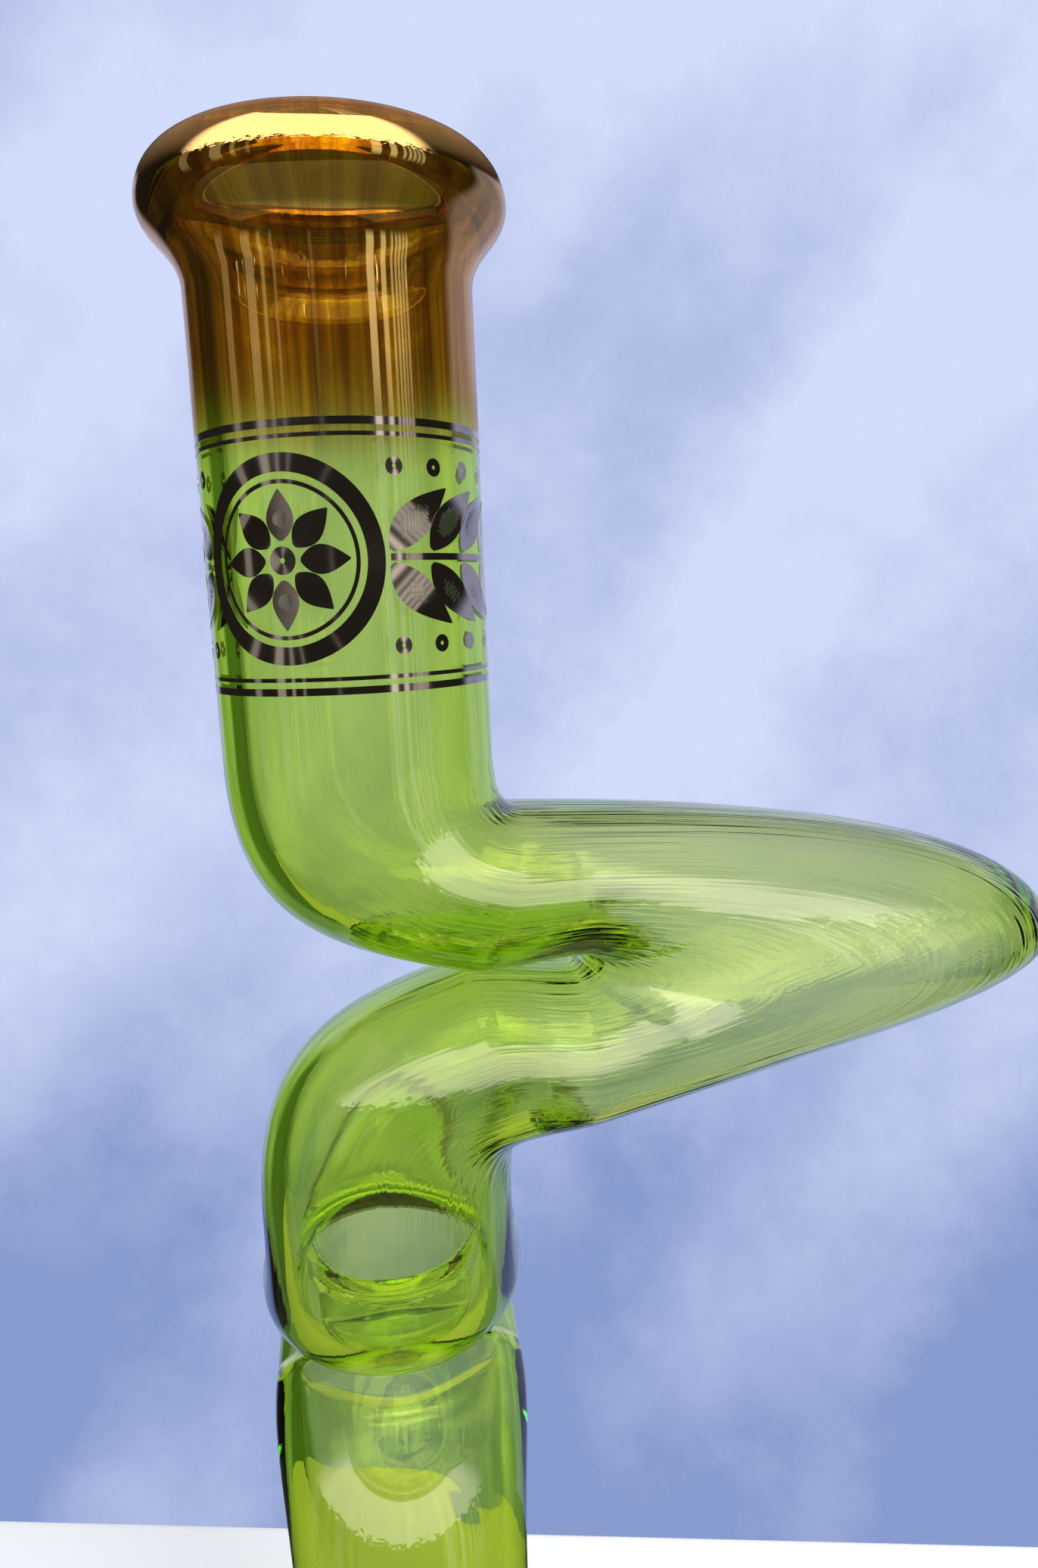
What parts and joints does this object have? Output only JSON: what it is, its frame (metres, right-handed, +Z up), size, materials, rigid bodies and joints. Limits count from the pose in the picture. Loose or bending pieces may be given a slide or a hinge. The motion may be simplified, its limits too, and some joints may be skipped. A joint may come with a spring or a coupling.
{
  "type": "kinked glass water pipe",
  "caption": "Green glass water pipe whose thick tube folds sideways in flattened kinks above a conical chamber, with a rolled gold lip and an inclined stem and bowl.",
  "frame": {"origin": "middle of the flat bottom, on the axis of the tube", "axes": "+Z up along the tube, +X to the tip of the upper kink, +Y to the tip of the lower kink, the stem leaves to -Y"},
  "size_m": [0.1759, 0.224, 0.3627],
  "materials": {
    "green_glass": "clear lime green borosilicate, fire polished",
    "lustre_glass": "gold lustre fired on green glass, mirror bright",
    "clear_glass": "clear borosilicate with fine-ground joint faces"
  },
  "bodies": {
    "pipe": {"mouthpiece": "lustre_glass", "neck_tube": "green_glass", "upper_kink_top_leg": "green_glass", "upper_kink_bottom_leg": "green_glass", "lower_kink_top_leg": "green_glass", "lower_kink_bottom_leg": "green_glass", "lower_tube": "green_glass", "beaker": "green_glass", "base": "green_glass", "stem_socket": "clear_glass"},
    "downstem": {"stem_joint": "clear_glass", "stem_tube": "clear_glass", "diffuser_tip": "clear_glass"},
    "bowl": {"bowl_joint": "clear_glass", "bowl_cup": "green_glass", "bowl_handle": "green_glass"}
  },
  "joints": [
    {"name": "stem_slide", "type": "slide", "parent": "pipe", "child": "downstem", "axis": [0, -0.7071, 0.7071], "range_m": [0, 0.1]},
    {"name": "bowl_slide", "type": "slide", "parent": "downstem", "child": "bowl", "axis": [0, -0.7071, 0.7071], "range_m": [0, 0.03]}
  ]
}
